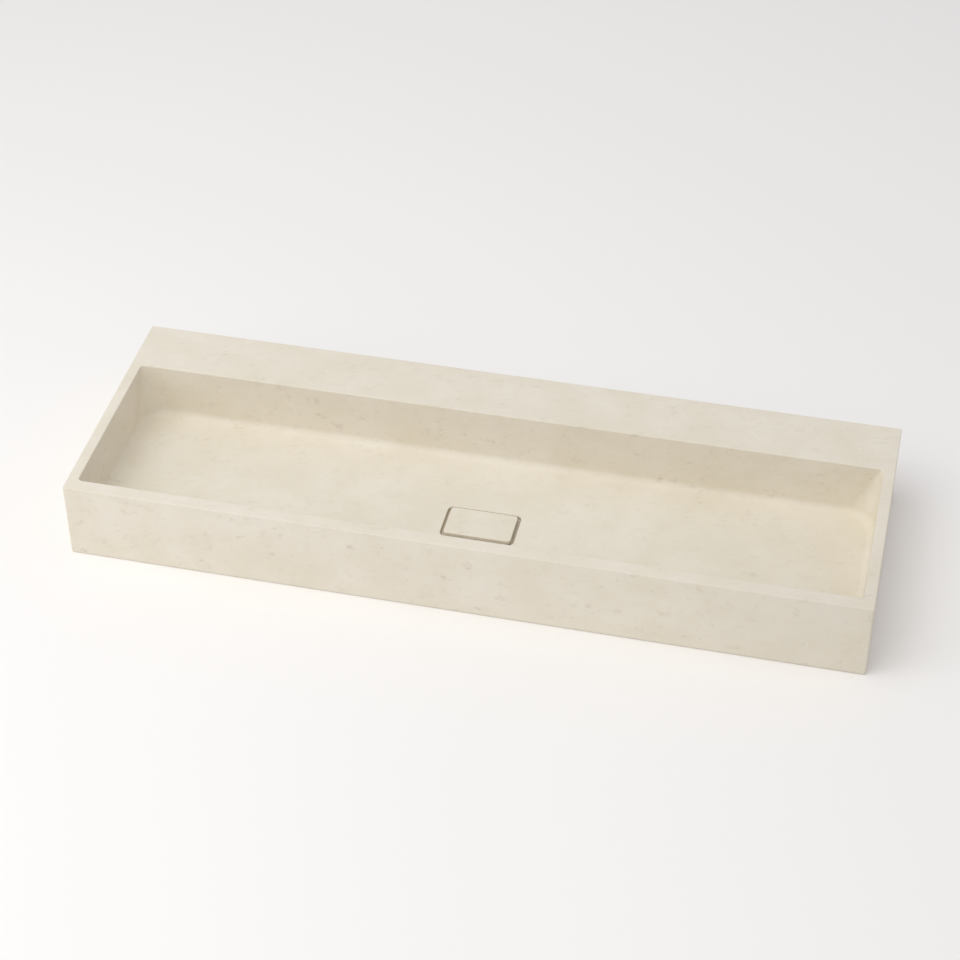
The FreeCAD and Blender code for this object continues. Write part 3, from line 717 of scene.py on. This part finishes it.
welds = {
    "brackets": (-350, 350),
    "gussetHalf": 3,
    "armLevel": 18,
    "legY": 198,
    "armFrom": 144,
    "legTo": 70,
    "bead": 2.2,
    "hollow": 0.82,  # the bead between two ripples, as a share of its radius
    "end": 0.35,  # and where it starts and stops
    "pitch": 1.5,
}


def weldBead(bm, start, end):  # overlapping ripples, each a little proud of the next
    size = welds
    along = Vector(end) - Vector(start)
    turn = along.to_track_quat("Z", "Y").to_matrix().to_4x4()
    count = int(along.length / size["pitch"]) * 2
    loops = []
    for number in range(count + 1):
        radius = size["bead"] * (size["hollow"] if number % 2 else 1)
        if number in (0, count):
            radius = size["bead"] * size["end"]
        place = Matrix.Translation(Vector(start) + along * number / count) @ turn
        made = bmesh.ops.create_circle(bm, cap_ends=False, segments=10, radius=radius, matrix=place)
        loops.append(edgesOf(made["verts"]))
    skin(bm, loops)
    cap(bm, loops[0])
    cap(bm, loops[-1])


def weldSet():
    size = welds
    bm = bmesh.new()
    for x in size["brackets"]:
        for side in (-1, 1):
            beside = x + side * size["gussetHalf"]
            weldBead(bm, (beside, size["armFrom"], size["armLevel"]), (beside, size["legY"] - 2, size["armLevel"]))
            weldBead(bm, (beside, size["legY"], size["armLevel"] + 2), (beside, size["legY"], size["legTo"]))
    return closed(bm, "bracketWelds")


bracketWelds = weldSet()
finished(bracketWelds, "basin", [plainFinish("weldSteel")], sharpAngle=60)


def paint(material, *names):  # for the pieces that stay as they are in the frame
    for name in names:
        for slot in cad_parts[name].material_slots:
            slot.material = material


paint(plainFinish("bracketPaint"), "left_bracket", "right_bracket")
paint(brushedSteel(), "waste_flange", "waste_screw")
paint(plainFinish("zincPlate"), "bracket_washers")
paint(plainFinish("insertBrass"), "threaded_inserts")
paint(plainFinish("blackRubber"), "flange_gasket", "outlet_gasket", "bracket_cushions")
paint(plainFinish("silicone"), "cover_feet")
print("finishes given to the frame's own pieces")


studio = {
    "floor": (251.5, 249.3, 246.6),
    "floorHalf": 9,
    "floorCloud": 1.6,
    "floorShade": 0.985,  # how light the floor's clouds are beside the rest of it
    "sky": (0.972, 0.966, 1, 1),
    "skyStrength": 0.597,
}

# Turn is from the front towards the left, and height above the floor, both in degrees.
lamps = {
    "softbox": {"turn": 42, "height": 65, "distance": 5, "size": 4.2, "power": 105, "colour": (0.975, 1, 0.975)},
    "fill": {"turn": 55, "height": 30, "distance": 2.5, "size": 1.5, "power": 7, "colour": (1, 0.96, 1)},
}


def layFloor():
    bm = bmesh.new()
    bmesh.ops.create_grid(bm, x_segments=24, y_segments=24, size=studio["floorHalf"])
    mesh = bpy.data.meshes.new("floor")
    bm.to_mesh(mesh)
    bm.free()
    floor = bpy.data.objects.new("floor", mesh)
    bpy.context.scene.collection.objects.link(floor)
    look = Finish("paleFloor")
    cloudy = look.noise(look.place(), studio["floorCloud"])
    pale = shade(*studio["floor"])
    colour = look.blend(cloudy, pale, (*(part * studio["floorShade"] for part in pale[:3]), 1))
    mesh.materials.append(look.close(Base_Color=colour, Roughness=0.9, Specular_IOR_Level=0.1))


def lightStudio():
    world = bpy.data.worlds.new("studio")
    bpy.context.scene.world = world
    world.use_nodes = True
    background = world.node_tree.nodes["Background"]
    background.inputs["Color"].default_value = studio["sky"]
    background.inputs["Strength"].default_value = studio["skyStrength"]
    for name, values in lamps.items():
        light = bpy.data.lights.new(name, "AREA")
        light.shape = "SQUARE"
        light.size = values["size"]
        light.energy = values["power"]
        light.color = values["colour"]
        lamp = bpy.data.objects.new(name, light)
        turn, height = math.radians(values["turn"]), math.radians(values["height"])
        across = math.cos(height)
        towards = Vector((-math.sin(turn) * across, -math.cos(turn) * across, math.sin(height)))
        lamp.location = towards * values["distance"]
        lamp.rotation_euler = (-towards).to_track_quat("-Z", "Y").to_euler()
        bpy.context.scene.collection.objects.link(lamp)


cameraView = {
    "place": (0.6153, -2.6962, 2.4293),
    "turn": (49.704, 0.199, 12.931),  # degrees
    "lens": 89.84,
    "sensor": 36,
    "near": 0.05,
    "far": 60,
}


def placeCamera():
    eye = bpy.data.cameras.new("camera")
    eye.lens = cameraView["lens"]
    eye.sensor_width = cameraView["sensor"]
    eye.clip_start = cameraView["near"]
    eye.clip_end = cameraView["far"]
    camera = bpy.data.objects.new("camera", eye)
    camera.location = cameraView["place"]
    camera.rotation_euler = [math.radians(angle) for angle in cameraView["turn"]]
    bpy.context.scene.collection.objects.link(camera)
    bpy.context.scene.camera = camera


layFloor()
lightStudio()
placeCamera()
bpy.context.scene.view_settings.view_transform = "Standard"
print("floor, light and camera in place")
